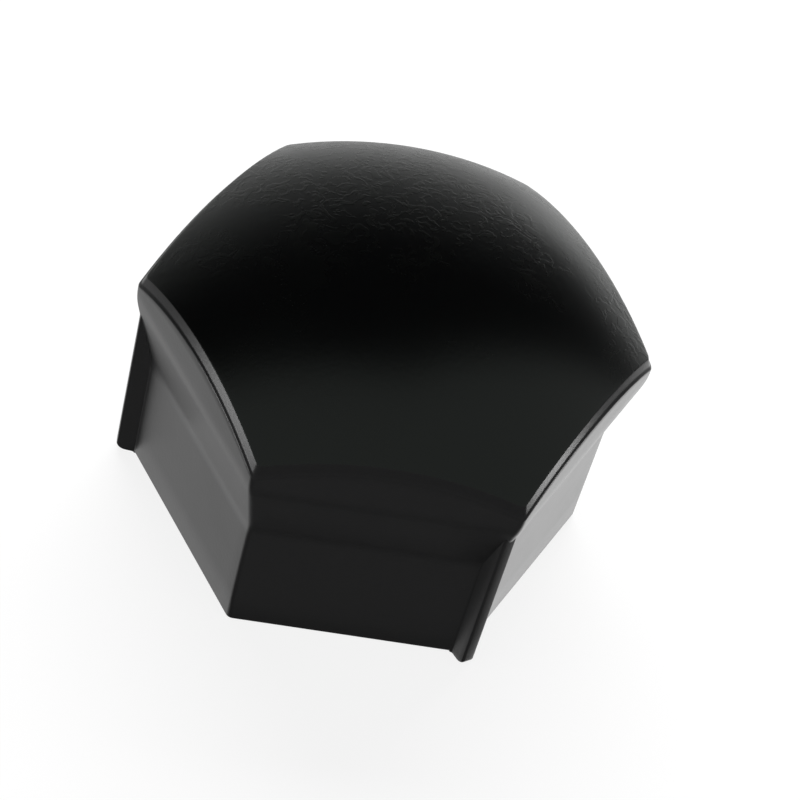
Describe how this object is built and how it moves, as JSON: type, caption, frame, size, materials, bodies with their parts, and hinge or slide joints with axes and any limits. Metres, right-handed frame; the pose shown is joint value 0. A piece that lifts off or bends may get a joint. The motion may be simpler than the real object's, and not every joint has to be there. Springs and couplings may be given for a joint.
{
  "type": "wheel nut cover cap",
  "caption": "Domed six-sided plastic cap that pushes over a wheel nut or wheel bolt head, with a flared rim and three small corner fins",
  "frame": {"origin": "centre of the open mouth, at the height of the foot of the skirt", "axes": "+Z runs from the open mouth up to the dome, +X goes out through a corner without a fin, and -Y goes out through the middle of the face that the picture shows largest"},
  "size_m": [0.0252, 0.022, 0.0169],
  "materials": {
    "cap_plastic": "semi-gloss moulded black"
  },
  "bodies": {
    "root": {"cover_cap": "cap_plastic"}
  },
  "joints": []
}
